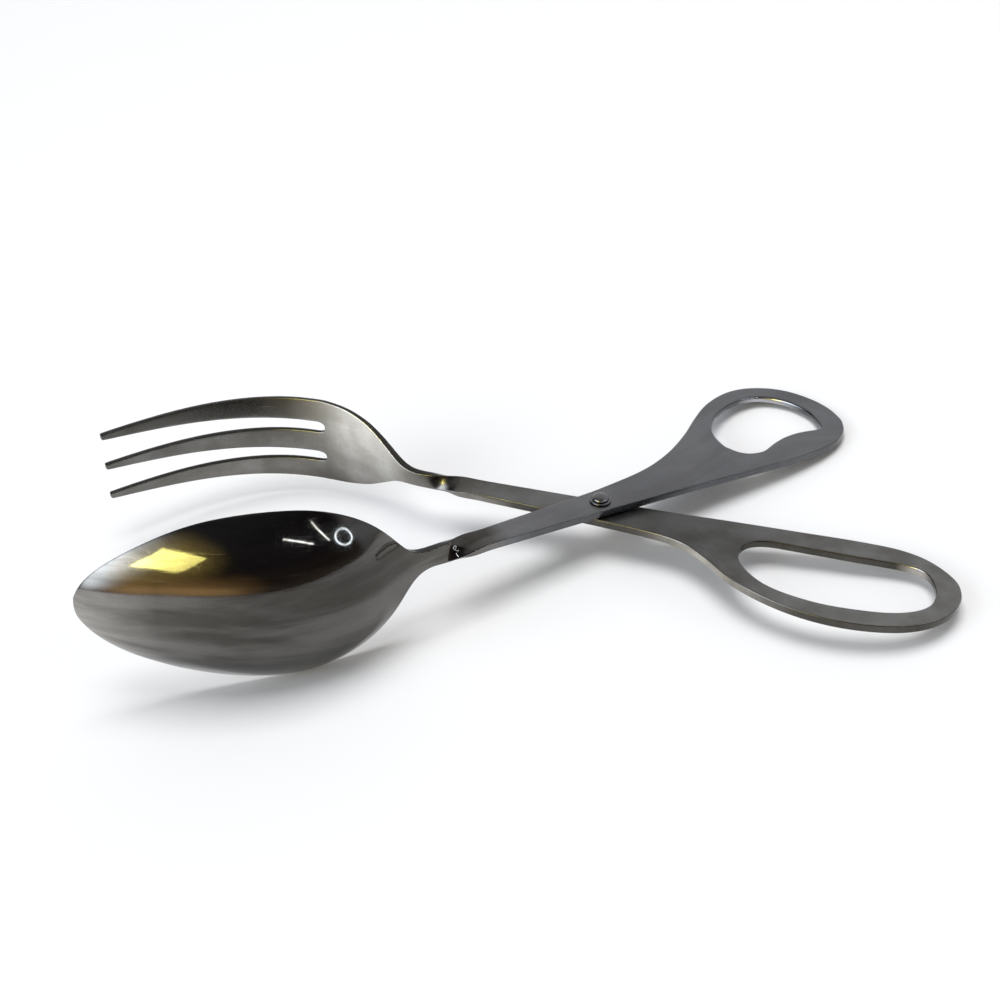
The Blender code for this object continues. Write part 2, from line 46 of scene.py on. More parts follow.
# Everything is laid out on the rivet: x towards the loops, z up its axis, and the whole
# leans as the tongs lie on the table.
joint = frame["joints"][0]
rivetAxis = Vector(joint["axis"]).normalized()
lean = Vector((0.0, 0.0, 1.0)).rotation_difference(rivetAxis).to_matrix().to_4x4()
onRivet = Matrix.Translation(Vector(joint["pos_m"])) @ lean
halfOpening = math.radians(24.0)
sheetGauge = 0.0025
sheetGap = 0.0003
sheetMiddle = (sheetGap + sheetGauge) / 2
weld = 0.00001
rows = 12
growShare = 0.35  # of an edge's rounding, because smoothing draws it in
easeColumns = 6  # over which the rounding of a hole's edge sets in
cutEdgeAngle = math.radians(50.0)  # edges sharper than this are rounded
# how finely curves are followed before they are cut into even steps
spanSteps, outlineSteps, pathSteps = 16, 400, 1200


def ease(share):
    share = min(max(share, 0.0), 1.0)
    return share * share * (3.0 - 2.0 * share)


def smoothStep(t, span, here, slopeHere, there, slopeThere):
    # from one value to the next, with the slope given at both
    return ((2 * t**3 - 3 * t**2 + 1) * here + (t**3 - 2 * t**2 + t) * span * slopeHere
            + (3 * t**2 - 2 * t**3) * there + (t**3 - t**2) * span * slopeThere)


def readCurve(keys, at):
    # smooth curve through (place, value) pairs
    xs = [key[0] for key in keys]
    ys = [key[1] for key in keys]
    at = min(max(at, xs[0]), xs[-1])
    k = min(max(int(np.searchsorted(xs, at)) - 1, 0), len(xs) - 2)
    slopes = np.gradient(ys, xs)
    span = xs[k + 1] - xs[k]
    return smoothStep((at - xs[k]) / span, span, ys[k], slopes[k], ys[k + 1], slopes[k + 1])


def readLine(keys, at):
    # straight lines through (place, value) pairs
    return float(np.interp(at, *zip(*keys)))


def evenRun(points, count):
    # evenly spaced points on a smooth curve through the given ones
    points = np.array(points, float)
    steps = np.sqrt(np.linalg.norm(np.diff(points, axis=0), axis=1))
    knots = np.concatenate([[0.0], np.cumsum(steps)])
    slopes = np.gradient(points, knots, axis=0)
    fine = []
    for k, span in enumerate(steps):
        for t in np.linspace(0.0, 1.0, spanSteps, endpoint=False):
            fine.append(smoothStep(t, span, points[k], slopes[k], points[k + 1], slopes[k + 1]))
    fine = np.array(fine + [points[-1]])
    length = np.concatenate([[0.0], np.cumsum(np.linalg.norm(np.diff(fine, axis=0), axis=1))])
    even = np.linspace(0.0, length[-1], count + 1)
    return np.stack([np.interp(even, length, fine[:, 0]), np.interp(even, length, fine[:, 1])], 1)


def inBox(shares, low, high):
    # points given as shares of a box's length and width
    low, high = np.array(low), np.array(high)
    return [tuple(low + np.array(share) * (high - low)) for share in shares]


def stemAndRing(stem, ring, counts):
    # one edge of the handle, in even steps before and after the start of the hole
    whole = evenRun(stem + ring, outlineSteps)
    turn = int(np.argmin(np.linalg.norm(whole - np.array(stem[-1]), axis=1)))
    first = evenRun(whole[:turn + 1], counts["stem"])
    second = evenRun(whole[turn:], counts["ring"])
    return np.concatenate([first, second[1:]])


def grown(edge, inner, rounding):
    # an edge point moved away from the band's other side
    band = edge - inner
    return edge + band / max(float(np.linalg.norm(band)), weld) * rounding * growShare


def handleColumns(arm):
    # columns from the loop's end to the rivet: near edge, both hole edges, far edge
    loop, counts = arm["loop"], arm["counts"]
    low, high = (0.0, -loop["nearSide"]), (loop["reach"], loop["farSide"])
    holeLow = (loop["holeStart"], loop["nearRim"] - loop["nearSide"])
    holeHigh = (loop["reach"] - loop["endRim"], loop["farSide"] - loop["farRim"])
    pivot = arm["pivotWidth"] / 2
    nearStem = [(0.0, arm["pivotShift"] - pivot)] + inBox(loop["nearStem"], low, high)
    farStem = [(0.0, arm["pivotShift"] + pivot)] + inBox(loop["farStem"], low, high)
    near = stemAndRing(nearStem, inBox(loop["nearRing"], low, high), counts)
    far = stemAndRing(farStem, inBox(loop["farRing"], low, high), counts)
    nearHole = evenRun(inBox(loop["nearHole"], holeLow, holeHigh), counts["ring"])
    farHole = evenRun(inBox(loop["farHole"], holeLow, holeHigh), counts["ring"])
    stem = counts["stem"]
    columns = []
    for k in range(counts["ring"], -1, -1):
        nearEdge, nearRim, farRim, farEdge = near[stem + k], nearHole[k], farHole[k], far[stem + k]
        inside = arm["holeRound"] * ease(min(k, counts["ring"] - k) / easeColumns)
        columns.append((grown(nearEdge, nearRim, arm["edgeRound"]),
                        grown(nearRim, nearEdge, inside), grown(farRim, farEdge, inside),
                        grown(farEdge, farRim, arm["edgeRound"])))
    web = nearHole[0] - (near[stem] + far[stem]) / 2
    for k in range(stem - 1, -1, -1):
        middle = (near[k] + far[k]) / 2 + web * (k / stem) ** 2
        columns.append((grown(near[k], middle, arm["edgeRound"]), middle, middle,
                        grown(far[k], middle, arm["edgeRound"])))
    return columns


def neckEnd(arm):
    # where the head begins, measured from the rivet
    return arm["twistStart"] + arm["twistLength"]


def headPath(arm):
    # middle of the sheet from the rivet to the tip, as a function of distance
    end = neckEnd(arm)
    fine = np.linspace(0.0, end + arm["reach"], pathSteps)
    angle = np.radians([readCurve(arm["bend"], max(d - end, 0.0) / arm["reach"]) for d in fine])
    step = fine[1] - fine[0]
    x = -np.concatenate([[0.0], np.cumsum(np.cos((angle[1:] + angle[:-1]) / 2) * step)])
    y = np.concatenate([[0.0], np.cumsum(np.sin((angle[1:] + angle[:-1]) / 2) * step)])

    def at(d):
        # middle of the sheet, direction across it and direction out of its face
        turned = ease((d - arm["twistStart"]) / arm["twistLength"])
        settled = ease((d - end - arm["settleStart"]) / (arm["settleEnd"] - arm["settleStart"]))
        rise = arm["level"] + (arm["neckRise"] - arm["level"]) * turned
        rise += (arm["headRise"] - arm["neckRise"]) * settled
        shift = arm["pivotShift"]
        shift += (arm["twistShift"] - shift) * min(d / arm["twistStart"], 1.0)
        bend = np.interp(d, fine, angle)
        y0 = arm["side"] * np.interp(d, fine, y) + shift
        centre = Vector((np.interp(d, fine, x), y0, rise))
        level = Vector((arm["side"] * math.sin(bend), math.cos(bend), 0.0))
        upright = Vector((0.0, 0.0, 1.0))
        twist = math.pi / 2 * turned
        across = level * math.cos(twist) + upright * math.sin(twist)
        face = upright * math.cos(twist) - level * math.sin(twist)
        return centre, across, face

    return at


def armHalfWidth(arm, d):
    if d < arm["twistStart"]:
        share = d / arm["twistStart"]
        return (arm["pivotWidth"] + (arm["twistWidth"] - arm["pivotWidth"]) * share) / 2
    narrowed = ease((d - arm["twistStart"]) / (arm["narrowShare"] * arm["twistLength"]))
    return (arm["twistWidth"] + (arm["neckWidth"] - arm["twistWidth"]) * narrowed) / 2


def headHalfWidth(arm, d):
    # the width table is read in squares, so that a tip comes out round
    neck = (arm["neckWidth"] / arm["width"]) ** 2
    squares = [(0.0, neck)] + [(at, share**2) for at, share in arm["widths"]]
    at = (d - neckEnd(arm)) / arm["reach"]
    return arm["width"] / 2 * math.sqrt(max(readCurve(squares, at), 0.0))


numberLayers = ("polish", "tone", "edgeTone", "rounding")
vectorLayers = ("lift", "sheet")


def addLayers(bm, numbers, vectors):
    for name in numbers:
        bm.verts.layers.float.new(name)
    for name in vectors:
        bm.verts.layers.float_vector.new(name)


def mark(bm, vert, **values):
    # a corner's values go into the layers of the same names
    for name, value in values.items():
        layers = bm.verts.layers.float if name in numberLayers else bm.verts.layers.float_vector
        vert[layers[name]] = value


def openBlank(columns, slits):
    # a flat grid, cut open along the given rows, and the column and row of each corner
    bm = bmesh.new()
    bmesh.ops.create_grid(bm, x_segments=columns, y_segments=rows, size=1.0)
    addLayers(bm, numberLayers, vectorLayers)

    def cell(vert):
        return (round((vert.co.x + 1.0) / 2.0 * columns), round((vert.co.y + 1.0) / 2.0 * rows))

    cuts = []
    for edge in bm.edges:
        (i0, j0), (i1, j1) = cell(edge.verts[0]), cell(edge.verts[1])
        for row, first, last in slits:
            if j0 == j1 == row and first <= min(i0, i1) and max(i0, i1) <= last:
                cuts.append(edge)
    bmesh.ops.split_edges(bm, edges=cuts)
    return bm, {vert: cell(vert) for vert in bm.verts}


def edgeRuns(handle):
    # how far each column lies from the rivet along the near and the far edge
    nearRun = [0.0]
    farRun = [0.0]
    for one, two in zip(handle[:0:-1], handle[-2::-1]):
        nearRun.insert(0, nearRun[0] + float(np.linalg.norm(two[0] - one[0])))
        farRun.insert(0, farRun[0] + float(np.linalg.norm(two[3] - one[3])))
    return nearRun, farRun


def isUpper(vert):
    # which side of a slit a corner belongs to
    beside = sum(face.calc_center_median().y for face in vert.link_faces)
    return beside / len(vert.link_faces) > vert.co.y


def handlePlacer(arm, handle):
    nearRun, farRun = edgeRuns(handle)
    half = rows // 2

    def place(i, j, upper):
        # place, place on the sheet, rounding, and whether this is the hole's far side
        near, nearHole, farHole, far = handle[i]
        below = j < half or (j == half and not upper)
        if below:
            spot = near + (nearHole - near) * (j / half)
        else:
            spot = farHole + (far - farHole) * ((j - half) / half)
        side = float(np.linalg.norm(spot - (nearHole + farHole) / 2)) * (-1.0 if below else 1.0)
        along = nearRun[i] + (farRun[i] - nearRun[i]) * (j / rows)
        onHole = j == half and i <= arm["counts"]["ring"]
        rim = arm["holeRound"] if onHole else arm["edgeRound"]
        return Vector((spot[0], spot[1], arm["level"])), (along, side, 0.0), rim, onHole and upper

    return place


def openBore(bm, arm, cells, pivotColumn):
    # faces round the pivot give way to a ring of faces round the rivet's hole
    size = rivetSizes
    around = [face for face in bm.faces if all(
        abs(cells[vert][0] - pivotColumn) <= size["holeColumns"]
        and abs(cells[vert][1] - rows // 2) <= size["holeRows"] for vert in face.verts)]
    opened = set(around)
    rim = {vert for face in around for vert in face.verts
           if any(other not in opened for other in vert.link_faces)}
    # in order round the pivot, from the middle row on
    rim = sorted(rim, key=lambda vert: math.atan2(
        vert.co.y - arm["pivotShift"] + weld, vert.co.x) % (2.0 * math.pi))
    bmesh.ops.delete(bm, geom=around, context="FACES")
    bore = size["shankRadius"] + size["shankRoom"]
    ring = []
    for k in range(len(rim)):
        angle = 2.0 * math.pi * k / len(rim)
        vert = bm.verts.new((bore * math.cos(angle), bore * math.sin(angle), arm["level"]))
        mark(bm, vert, tone=readLine(arm["paintedLightAlong"], 0.0), edgeTone=1.0,
             sheet=(vert.co.x, vert.co.y, 0.0), rounding=size["shankRoom"] / 2,
             lift=(sheetGauge, 0.0, 0.0))
        ring.append(vert)
    for k, vert in enumerate(ring):
        bm.faces.new((rim[k - 1], rim[k], vert, ring[k - 1]))


def giveGauge(bm, widest):
    # the sheet gets its gauge to both sides, and the cut edges their own darker material, a
    # painted shade, and rounding
    lift = bm.verts.layers.float_vector["lift"]
    rounding = bm.verts.layers.float["rounding"]
    bmesh.ops.remove_doubles(bm, verts=bm.verts, dist=weld)
    bmesh.ops.recalc_face_normals(bm, faces=bm.faces)
    bm.normal_update()
    for vert in bm.verts:
        vert[lift] = vert.normal * (vert[lift].x / 2)
    below = list(bm.verts)
    flats = set(bm.faces)
    raised = bmesh.ops.extrude_face_region(bm, geom=bm.faces[:])
    flats.update(item for item in raised["geom"] if isinstance(item, bmesh.types.BMFace))
    for item in raised["geom"]:
        if isinstance(item, bmesh.types.BMVert):
            item.co += item[lift]
    for vert in below:
        vert.co -= vert[lift]
    for face in bm.faces:
        face.material_index = 0 if face in flats else 1
    bmesh.ops.recalc_face_normals(bm, faces=bm.faces)
    weight = bm.edges.layers.float.new("bevel_weight_edge")
    for edge in bm.edges:
        if edge.calc_face_angle(0.0) > cutEdgeAngle:
            edge[weight] = (edge.verts[0][rounding] + edge.verts[1][rounding]) / 2 / widest
    bm.verts.layers.float_vector.remove(bm.verts.layers.float_vector["lift"])  # used up


def stampArm(name, arm, headStations, placeHead, slits, turn):
    # a flat blank is slit along its rows, opened and formed, then given its gauge
    handle = handleColumns(arm)
    counts = arm["counts"]
    flat = [arm["twistStart"] * k / counts["arm"] for k in range(1, counts["arm"])]
    twist = [arm["twistStart"] + arm["twistLength"] * k / counts["twist"]
             for k in range(counts["twist"])]
    head = flat + twist + [neckEnd(arm) + d for d in headStations]
    columns = len(handle) + len(head) - 1
    slits = [(rows // 2, 0, counts["ring"])] + [
        (row, len(handle) + len(flat) + len(twist) + first, columns) for row, first in slits]
    bm, cells = openBlank(columns, slits)
    placeHandle = handlePlacer(arm, handle)
    places = {}
    for vert, (i, j) in cells.items():
        # painted highlights on the cut edges, 1 where there are none
        edgeTone = 1.0
        if i < len(handle):
            spot, onSheet, rim, farSide = placeHandle(i, j, isUpper(vert))
            gauge, shine = sheetGauge, 0.0
            if farSide:
                edgeTone = readLine(arm["holeEdgeHighlights"], onSheet[0])
        else:
            d = head[i - len(handle)]
            spot, gauge, shine, side, rim = placeHead(d, j, isUpper(vert))
            onSheet = (-d, side, 0.0)
        if j == 0:
            edgeTone = readLine(arm["nearEdgeHighlights"], onSheet[0])
        # painted sheen and shade on the faces: along the arm, and across it from the slopes
        slope = readLine(arm["paintedSheenSlopes"], onSheet[0])
        tone = readLine(arm["paintedLightAlong"], onSheet[0]) * (1.0 + slope * 2.0 * onSheet[1] / arm["width"])
        mark(bm, vert, polish=shine, tone=tone, edgeTone=edgeTone, rounding=rim, sheet=onSheet,
             lift=(gauge, 0.0, 0.0))
        places[vert] = spot
    for vert, spot in places.items():
        vert.co = spot
    openBore(bm, arm, cells, len(handle) - 1)
    widest = max(arm["holeRound"], arm["edgeRound"], arm["headRound"])
    giveGauge(bm, widest)
    bmesh.ops.transform(bm, matrix=onRivet @ Matrix.Rotation(turn, 4, "Z"), verts=bm.verts)
    return finishPiece(name, bm, widest, levels=2)


def placeMesh(name, bm):
    mesh = bpy.data.meshes.new(name)
    bm.to_mesh(mesh)
    bm.free()
    made = bpy.data.objects.new(name, mesh)
    bpy.context.scene.collection.objects.link(made)
    return made


def finishPiece(name, bm, rounding, levels):
    for face in bm.faces:
        face.smooth = True
    piece = placeMesh(name, bm)
    if rounding:
        bevel = piece.modifiers.new("rounded edges", "BEVEL")
        bevel.width = rounding
        bevel.segments = 2
        bevel.limit_method = "WEIGHT"
        bevel.use_clamp_overlap = False
    subdivision = piece.modifiers.new("smooth", "SUBSURF")
    subdivision.levels = levels
    subdivision.render_levels = levels
    return piece


# sizes in metres; heights are those of the sheet's middle over the plane between the arms
spoonArm = {
    "side": 1.0,
    "level": sheetMiddle,
    "pivotWidth": 0.0101,
    "pivotShift": 0.00035,  # how far the arm's middle line passes beside the rivet
    "twistStart": 0.038,
    "twistLength": 0.018,
    "twistWidth": 0.0077,
    "narrowShare": 0.65,  # of the twist, in which the arm narrows to the neck
    "twistShift": 0.00095,
    "neckWidth": 0.0057,
    "neckRise": 0.0018,
    "headRise": -0.0001,
    "settleStart": 0.0,  # past the neck, where the head's height begins to take over
    "settleEnd": 0.012,
    "reach": 0.0979,
    "width": 0.0545,
    "depth": 0.0125,
    "shoulder": 0.038,  # past the neck, over which the sheet thins to the head's gauge
    "dishStart": 0.019,  # from here on the bowl has its full depth
    "fullness": 1.6,
    "sectionShares": (0.85, 0.15),  # of a round and of a flat-bottomed section
    "headGauge": 0.0015,
    "swirlShare": 0.15,  # of the head's reach, where the polishing swirls have their centre
    # painted light: brightness of the steel at distances from the rivet, minus towards the tip;
    # above 1 a painted sheen or highlight, below 1 painted shade
    "paintedLightAlong": [(-0.1539, 2.7), (-0.145, 2.3), (-0.132, 1.3), (-0.115, 0.95), (-0.085, 0.82),
              (-0.068, 1.02), (-0.058, 1.2), (-0.044, 1.05), (-0.030, 1.08), (0.0, 0.98),
              (0.120, 0.98)],
    # how far the head has turned towards the other arm, in degrees, at shares of its reach
    "bend": [(0.0, 0.0), (0.17, 7.8), (0.36, 14.5), (0.55, 23.5), (0.80, 23.1), (1.0, 34.5)],
    "widths": [(0.04, 0.129), (0.061, 0.169), (0.081, 0.261), (0.122, 0.46), (0.173, 0.653),
               (0.244, 0.827), (0.335, 0.952), (0.457, 1.0), (0.609, 0.944), (0.772, 0.755),
               (0.883, 0.545), (1.0, 0.0)],
    "edgeRound": 0.0004,
    "holeRound": 0.0008,
    "headRound": 0.0003,
    "polishStart": 0.031,  # from the rivet, where the satin arm turns into the polished head
    "polishFade": 0.007,
    # painted sheen across the sheet: none on the spoon
    "paintedSheenSlopes": [(0.0, 0.0)],
    # painted highlights on the cut edges: the near one, and the far side of the loop's hole
    "nearEdgeHighlights": [(-0.052, 1.0), (-0.046, 2.0), (-0.036, 2.0), (-0.028, 1.0)],
    "holeEdgeHighlights": [(0.076, 1.0), (0.083, 4.0), (0.092, 4.0), (0.099, 1.0)],
    # columns near the tip, by how far they lie from it
    "tipLeft": [0.0240, 0.0160, 0.0100, 0.0058, 0.0029, 0.0012, 0.00035],
    "crown": 0.00035,  # how far the last columns bulge towards the tip
    "crownReach": 0.0029,
    "loop": {
        "reach": 0.0934,
        "farSide": 0.0335,
        "nearSide": 0.0093,
        "holeStart": 0.0505,
        "endRim": 0.0069,
        "farRim": 0.0059,
        "nearRim": 0.0079,
        # outlines in shares of the loop's length and width
        "farStem": [(0.16, 0.378), (0.25, 0.416), (0.36, 0.512), (0.471, 0.661)],
        "farRing": [(0.557, 0.804), (0.653, 0.935), (0.765, 1.0), (0.851, 0.963),
                    (0.937, 0.822), (0.987, 0.603), (1.0, 0.411), (0.988, 0.245)],
        "nearStem": [(0.107, 0.091), (0.321, 0.061), (0.4925, 0.030)],
        "nearRing": [(0.664, 0.002), (0.75, 0.0), (0.829, 0.009), (0.90, 0.049),
                     (0.955, 0.136), (0.988, 0.245)],
        # and the hole's in shares of its own
        "farHole": [(0.0, 0.34), (0.004, 0.412), (0.022, 0.516), (0.06, 0.635), (0.19, 0.82),
                    (0.40, 0.96), (0.60, 1.0), (0.78, 0.94), (0.936, 0.72), (1.0, 0.40),
                    (0.953, 0.14)],
        "nearHole": [(0.0, 0.34), (0.002, 0.28), (0.012, 0.205), (0.045, 0.11), (0.10, 0.044),
                     (0.16, 0.013), (0.24, 0.0), (0.40, 0.07), (0.55, 0.115), (0.69, 0.115),
                     (0.80, 0.085), (0.86, 0.06), (0.92, 0.075), (0.953, 0.14)],
    },
    # columns of the mesh in each stretch
    "counts": {"stem": 9, "ring": 32, "arm": 6, "twist": 9, "head": 22},
}


def bowlDish(d, acrossShare):
    # how far the sheet stands out behind the rim line
    arm = spoonArm
    fullness = (headHalfWidth(arm, d) / (arm["width"] / 2)) ** arm["fullness"]
    start = ease((d - neckEnd(arm)) / arm["dishStart"])
    roundShare, flatShare = arm["sectionShares"]
    section = 1.0 - roundShare * acrossShare**2 - flatShare * acrossShare**4
    return arm["depth"] * fullness * start * section


def buildSpoonArm():
    arm = spoonArm
    at = headPath(arm)
    end = neckEnd(arm)

    def placeHead(d, j, upper):
        share = 2.0 * j / rows - 1.0
        inHead = d > end
        left = end + arm["reach"] - d
        shine = ease((d - arm["polishStart"]) / arm["polishFade"])
        rim = arm["edgeRound"] + (arm["headRound"] - arm["edgeRound"]) * shine
        half = headHalfWidth(arm, d) if inHead else armHalfWidth(arm, d)
        half += rim * growShare * ease(left / arm["tipLeft"][0])
        ahead = arm["crown"] * max(1.0 - left / arm["crownReach"], 0.0) * (1.0 - share**2)
        centre, across, face = at(d + ahead)
        spot = centre + across * (half * share)
        if inHead:
            spot += face * bowlDish(d, share)
        thin = ease((d - end) / arm["shoulder"])
        gauge = sheetGauge + (arm["headGauge"] - sheetGauge) * thin
        return spot, gauge, shine, half * share, rim

    straight = arm["reach"] - arm["tipLeft"][0]
    stations = [straight * k / arm["counts"]["head"] for k in range(arm["counts"]["head"])]
    stations += [arm["reach"] - left for left in arm["tipLeft"]]
    return stampArm("spoonArm", arm, stations, placeHead, [], halfOpening)


forkArm = {
    "side": -1.0,
    "level": -sheetMiddle,
    "pivotWidth": 0.0101,
    "pivotShift": -0.0006,
    "twistStart": 0.038,
    "twistLength": 0.018,
    "twistWidth": 0.0076,
    "narrowShare": 0.65,
    "twistShift": -0.0002,
    "neckWidth": 0.0045,
    "neckRise": -0.0011,
    "headRise": 0.00015,
    "settleStart": 0.006,
    "settleEnd": 0.030,
    "reach": 0.1074,
    "shoulder": 0.037,
    "bow": 0.00124,  # how far the outer tines stand back from the middle one
    "bowFadeStart": 0.050,
    "headGauge": 0.0017,
    "swirlShare": 0.14,
    "slotStart": 0.0367,
    "slotRoot": 0.0032,
    "slotRound": 0.0006,
    "slotRoundFade": 0.014,
    "tinePitch": 0.0106,
    "tineWidth": 0.0070,
    "tineTipWidth": 0.0018,
    "tineTaperStart": 0.0450,
    "tineTaperPower": 1.5,
    "tineEndLength": 0.0006,
    "tineEndShare": 0.25,  # of a tine's width that its last bit loses
    "edgeRound": 0.00035,
    "holeRound": 0.0005,
    "headRound": 0.00030,
    "polishStart": 0.034,
    "polishFade": 0.008,
    "palmDull": 0.6,  # share of the polish that the palm lacks
    "palmFade": 0.012,
    # painted sheen: how much brighter towards the top tine
    "paintedSheenSlopes": [(-0.1634, -0.10), (-0.105, -0.10), (-0.092, 0.60), (-0.064, 0.85),
                   (-0.056, 0.0), (-0.050, 0.0), (0.120, 0.0)],
    # painted highlights on the cut edges: the near one, and the far side of the loop's hole
    "nearEdgeHighlights": [(-0.052, 1.0), (-0.046, 4.5), (-0.036, 3.5), (-0.024, 1.3), (0.012, 1.0),
                  (0.022, 3.5), (0.032, 6.0), (0.050, 4.0), (0.062, 1.8), (0.072, 1.0)],
    "holeEdgeHighlights": [(0.095, 1.0), (0.100, 5.0), (0.105, 5.0), (0.109, 1.0)],
    # painted light: brightness of the steel at distances from the rivet, minus towards the tip;
    # above 1 a painted sheen, below 1 painted shade
    "paintedLightAlong": [(-0.1634, 0.80), (-0.145, 0.88), (-0.125, 0.95), (-0.104, 1.05), (-0.093, 1.5),
              (-0.084, 2.5), (-0.070, 2.75), (-0.062, 1.7), (-0.055, 1.0), (-0.046, 1.0),
              (-0.036, 0.90), (-0.015, 1.0), (0.0, 0.80), (0.018, 0.60), (0.045, 0.85),
              (0.065, 1.12), (0.120, 1.30)],
    "bend": [(0.0, 0.0), (0.071, -26.1), (0.131, -20.2), (0.202, -9.0), (0.3025, -7.5),
             (0.424, 8.9), (0.605, 28.0), (0.807, 43.2), (1.0, 50.0)],
    "widths": [(0.037, 0.170), (0.074, 0.230), (0.111, 0.364), (0.139, 0.506),
               (0.167, 0.630), (0.194, 0.751), (0.2315, 0.858), (0.2685, 0.934),
               (0.3055, 0.975), (0.352, 1.0), (1.0, 1.0)],
    "loop": {
        "reach": 0.1046,
        "farSide": 0.0076,
        "nearSide": 0.0309,
        "holeStart": 0.0429,
        "endRim": 0.0067,
        "farRim": 0.0074,
        "nearRim": 0.0062,
        "farStem": [(0.191, 0.932), (0.354, 0.958)],
        "farRing": [(0.554, 0.982), (0.717, 1.0), (0.827, 0.987), (0.894, 0.930),
                    (0.949, 0.823), (0.988, 0.693), (1.0, 0.548)],
        "nearStem": [(0.134, 0.631), (0.21, 0.605), (0.268, 0.553), (0.335, 0.426)],
        "nearRing": [(0.4015, 0.2675), (0.4876, 0.1325), (0.593, 0.034), (0.698, 0.0),
                     (0.803, 0.0286), (0.889, 0.1065), (0.952, 0.236), (0.9895, 0.40),
                     (1.0, 0.548)],
        "farHole": [(0.0, 0.67), (0.004, 0.745), (0.015, 0.82), (0.035, 0.882), (0.11, 0.965),
                    (0.31, 0.985), (0.58, 0.99), (0.80, 1.0), (0.905, 0.965), (0.967, 0.845),
                    (1.0, 0.57)],
        "nearHole": [(0.0, 0.67), (0.003, 0.60), (0.013, 0.526), (0.062, 0.357), (0.15, 0.185),
                     (0.262, 0.076), (0.46, 0.0), (0.64, 0.015), (0.81, 0.08),
                     (0.92, 0.197), (0.982, 0.35), (1.0, 0.57)],
    },
    "counts": {"stem": 9, "ring": 32, "arm": 6, "twist": 9, "head": 28, "root": 5},
}
forkArm["width"] = 2.0 * forkArm["tinePitch"] + forkArm["tineWidth"]


def forkEdges(d):
    # edges of the tines from low to high; they meet in the palm and along the arm
    arm = forkArm
    line = arm["tinePitch"] / 2
    start = neckEnd(arm) + arm["slotStart"]
    if d <= start:
        outer = headHalfWidth(arm, d) if d > neckEnd(arm) else armHalfWidth(arm, d)
        line *= outer / (arm["width"] / 2)
        return [-outer, -line, -line, line, line, outer]
    taper = (d - neckEnd(arm) - arm["tineTaperStart"]) / (arm["reach"] - arm["tineTaperStart"])
    width = arm["tineWidth"] + (arm["tineTipWidth"] - arm["tineWidth"]) * max(
        taper, 0.0) ** arm["tineTaperPower"]
    left = neckEnd(arm) + arm["reach"] - d
    ended = max(1.0 - left / arm["tineEndLength"], 0.0)
    half = width / 2 * (1.0 - arm["tineEndShare"] * ended)
    root = min((d - start) / arm["slotRoot"], 1.0)
    opened = math.sqrt(1.0 - (1.0 - root) ** 2)
    middle = line + (half - line) * opened
    inner = line + (arm["tinePitch"] - half - line) * opened
    return [-arm["tinePitch"] - half, -inner, -middle, middle, inner, arm["tinePitch"] + half]


def buildForkArm():
    arm = forkArm
    at = headPath(arm)
    end = neckEnd(arm)
    third = rows // 3

    def placeHead(d, j, upper):
        strip = min(j // third, 2)
        if j % third == 0 and 0 < j < rows and not upper:
            strip = j // third - 1
        edges = forkEdges(d)
        grow = arm["headRound"] * growShare
        opened = ease((d - end - arm["slotStart"]) / arm["slotRoot"])
        low = edges[2 * strip] - grow * (1.0 if strip == 0 else opened)
        high = edges[2 * strip + 1] + grow * (1.0 if strip == 2 else opened)
        side = low + (high - low) * (j - strip * third) / third
        settled = ease((d - end - arm["settleStart"]) / (arm["settleEnd"] - arm["settleStart"]))
        faded = ease((d - end - arm["bowFadeStart"]) / (arm["reach"] - arm["bowFadeStart"]))
        bow = arm["bow"] * settled * (1.0 - faded) * (2.0 * side / arm["width"]) ** 2
        centre, across, face = at(d)
        thin = ease((d - end) / arm["shoulder"])
        gauge = sheetGauge + (arm["headGauge"] - sheetGauge) * thin
        shine = ease((d - arm["polishStart"]) / arm["polishFade"])
        rim = arm["edgeRound"] + (arm["headRound"] - arm["edgeRound"]) * shine
        shine *= 1.0 - arm["palmDull"] * ease((d - end) / arm["palmFade"])
        if 0 < j < rows:
            pastRoot = (d - end - arm["slotStart"]) / arm["slotRoundFade"]
            rim = arm["slotRound"] + (rim - arm["slotRound"]) * ease(pastRoot)
        return centre + across * side - face * bow, gauge, shine, side, rim

    half, rootSteps = arm["counts"]["head"] // 2, arm["counts"]["root"]
    palm = [arm["slotStart"] * k / half for k in range(half)]
    root = [arm["slotStart"] + arm["slotRoot"] * (1.0 - math.cos(math.pi / 2 * k / rootSteps))
            for k in range(rootSteps + 1)]
    tines = arm["reach"] - arm["tineEndLength"] - root[-1]
    stations = palm + root + [root[-1] + tines * k / half for k in range(1, half + 1)]
    stations += [arm["reach"]]
    slits = [(third, len(palm)), (2 * third, len(palm))]
    return stampArm("forkArm", arm, stations, placeHead, slits, -halfOpening)


rivetSizes = {
    "seat": 0.0002,  # running room under the dome, the washer and the tail
    "domeRadius": 0.00245,
    "domeHeight": 0.0013,
    "shankRadius": 0.0016,
    "shankRoom": 0.0003,  # round the shank
    "washerRadius": 0.00318,
    "washerHeight": 0.0005,
    "tailRadius": 0.0034,
    "tailHeight": 0.0009,
    # parts of the dome's, the tail's and the washer's height that their corners take
    "creaseParts": 12,
    "tailParts": 4,
    "washerParts": 3,
    "domeSteps": 12,
    "steps": 64,
    "holeColumns": 1,  # columns and rows of each arm's blank that give way to its hole
    "holeRows": 4,
}


